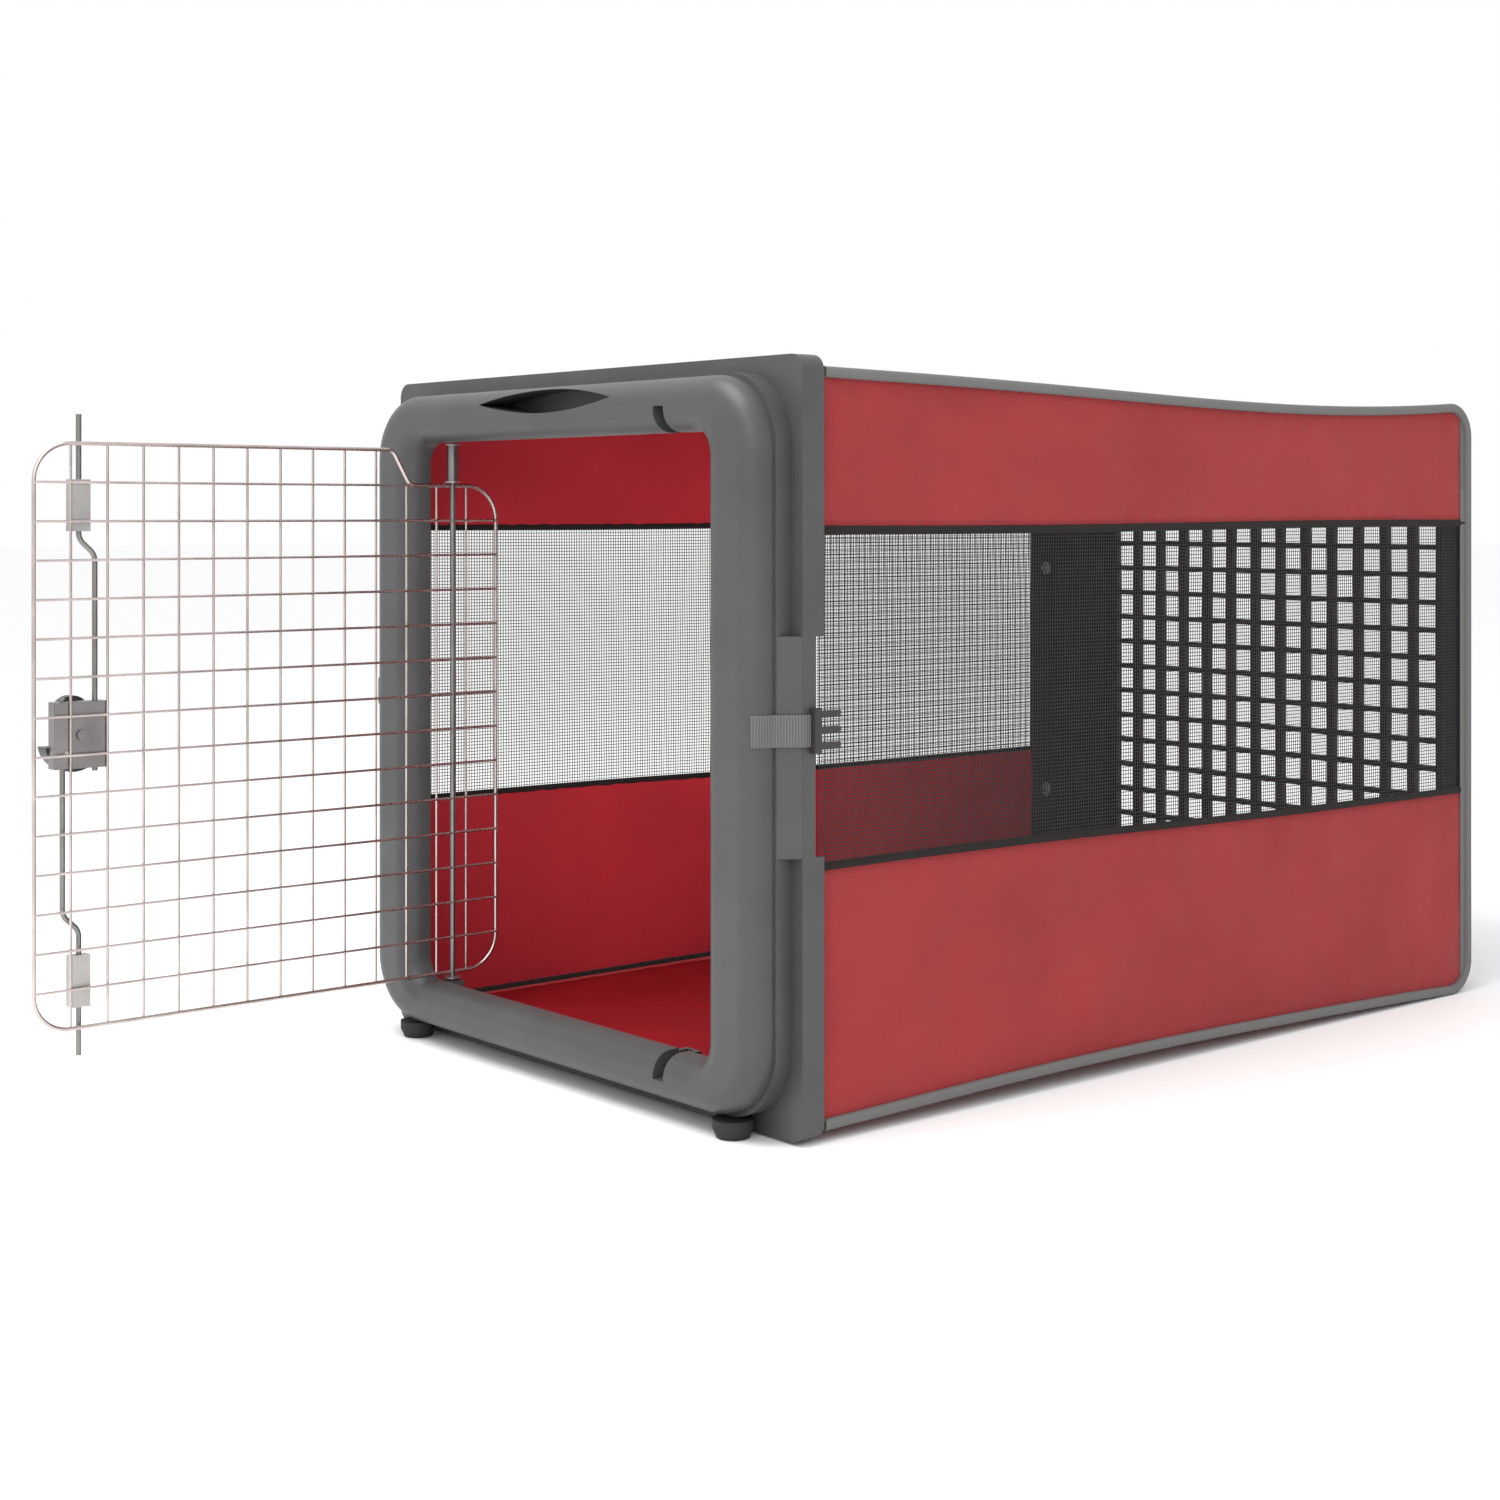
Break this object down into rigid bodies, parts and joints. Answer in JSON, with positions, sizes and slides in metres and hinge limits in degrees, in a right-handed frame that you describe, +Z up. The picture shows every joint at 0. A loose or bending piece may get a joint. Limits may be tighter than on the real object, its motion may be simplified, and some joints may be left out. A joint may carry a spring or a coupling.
{
  "type": "pet transport carrier",
  "caption": "Folding pet kennel: moulded front shell with a latched wire door, fabric body with mesh side windows, floor mat and a moulded rear end with a ventilation grille.",
  "frame": {"origin": "on the floor, in the middle of the box round the part with its door open at a right angle", "axes": "+Z up, the doorway faces -Y, +X to the right of somebody facing the doorway"},
  "size_m": [0.5826, 1.3382, 0.597],
  "materials": {
    "grey_shell": "fine grained grey moulding",
    "black_plastic": "satin black moulding",
    "foot_rubber": "dull black rubber",
    "red_fabric": "padded woven nylon",
    "red_mat": "padded mat cover",
    "black_mesh": "open black netting",
    "grey_binding": "woven binding tape",
    "tube_sleeve": "black sleeve over spring wire",
    "webbing": "grey webbing",
    "window_piping": "black piping tape",
    "bright_steel": "bright zinc plated steel",
    "spring_steel": "spring steel"
  },
  "bodies": {
    "kennel_body": {"front_shell": "grey_shell", "front_feet": "foot_rubber", "fabric_clamp_ring": "grey_shell", "pivot_hooks": "grey_shell", "bolt_catches": "grey_shell", "catch_fingers": "black_plastic", "roof_panel": "red_fabric", "floor_panel": "red_fabric", "left_lower_panel": "red_fabric", "right_lower_panel": "red_fabric", "left_upper_panel": "red_fabric", "right_upper_panel": "red_fabric", "left_mesh": "black_mesh", "right_mesh": "black_mesh", "left_window_tape": "window_piping", "right_window_tape": "window_piping", "left_edge_binding": "grey_binding", "right_edge_binding": "grey_binding", "floor_edge_tubes": "tube_sleeve", "floor_mat": "red_mat"},
    "rear_end": {"rear_shell": "black_plastic", "rear_grille": "black_plastic", "rear_binding": "grey_binding", "rear_screws": "bright_steel", "rear_washers": "bright_steel"},
    "door": {"door_edge_wire": "bright_steel", "door_upright_wires": "bright_steel", "door_level_wires": "bright_steel", "door_pivot_rod": "bright_steel", "pivot_sleeve": "bright_steel", "pivot_washers": "bright_steel", "latch_plate": "bright_steel", "latch_case": "black_plastic", "thumb_rest": "black_plastic", "latch_axle_screw": "bright_steel", "latch_rivet": "bright_steel", "bolt_guides": "grey_shell", "latch_spring": "spring_steel"},
    "upper_bolt": {"upper_bolt_rod": "bright_steel", "upper_bolt_rack": "black_plastic", "latch_finger_tab": "black_plastic"},
    "lower_bolt": {"lower_bolt_rod": "bright_steel", "lower_bolt_rack": "black_plastic"},
    "pinion": {"latch_pinion": "black_plastic"},
    "strap_left": {"strap_left": "webbing", "buckle_left": "black_plastic"},
    "strap_right": {"strap_right": "webbing", "buckle_right": "black_plastic"}
  },
  "joints": [
    {"name": "door_swing", "type": "hinge", "parent": "kennel_body", "child": "door", "pos_m": [-0.194, -0.2729, 0.3], "axis": [0, 0, 1], "range_deg": [-22, 90], "deforming": ["catch_fingers"]},
    {"name": "upper_bolt_slide", "type": "slide", "parent": "door", "child": "upper_bolt", "axis": [0, 0, -1], "range_m": [0, 0.022], "stiffness_N_per_m": 200, "springref_m": -0.01, "deforming": ["latch_spring"]},
    {"name": "lower_bolt_slide", "type": "slide", "parent": "door", "child": "lower_bolt", "axis": [0, 0, 1], "range_m": [0, 0.022]},
    {"name": "pinion_turn", "type": "hinge", "parent": "door", "child": "pinion", "pos_m": [-0.202, -0.6262, 0.29675], "axis": [1, 0, 0], "range_deg": [-141, 0]},
    {"name": "rear_fold", "type": "slide", "parent": "kennel_body", "child": "rear_end", "axis": [0, -1, 0], "range_m": [0, 0.82], "deforming": ["roof_panel", "floor_panel", "left_lower_panel", "right_lower_panel", "left_upper_panel", "right_upper_panel", "left_mesh", "right_mesh", "left_window_tape", "right_window_tape", "left_edge_binding", "right_edge_binding", "floor_edge_tubes", "floor_mat"]},
    {"name": "strap_left_turn", "type": "hinge", "parent": "kennel_body", "child": "strap_left", "pos_m": [-0.2649, -0.3073, 0.313], "axis": [0, 0, 1], "range_deg": [0, 100]},
    {"name": "strap_right_turn", "type": "hinge", "parent": "kennel_body", "child": "strap_right", "pos_m": [0.2649, -0.3073, 0.313], "axis": [0, 0, -1], "range_deg": [0, 100]}
  ],
  "couplings": [
    {"joint": "lower_bolt_slide", "follows": "upper_bolt_slide", "ratio": 1},
    {"joint": "pinion_turn", "follows": "upper_bolt_slide", "rad_per_m": -111.11}
  ]
}
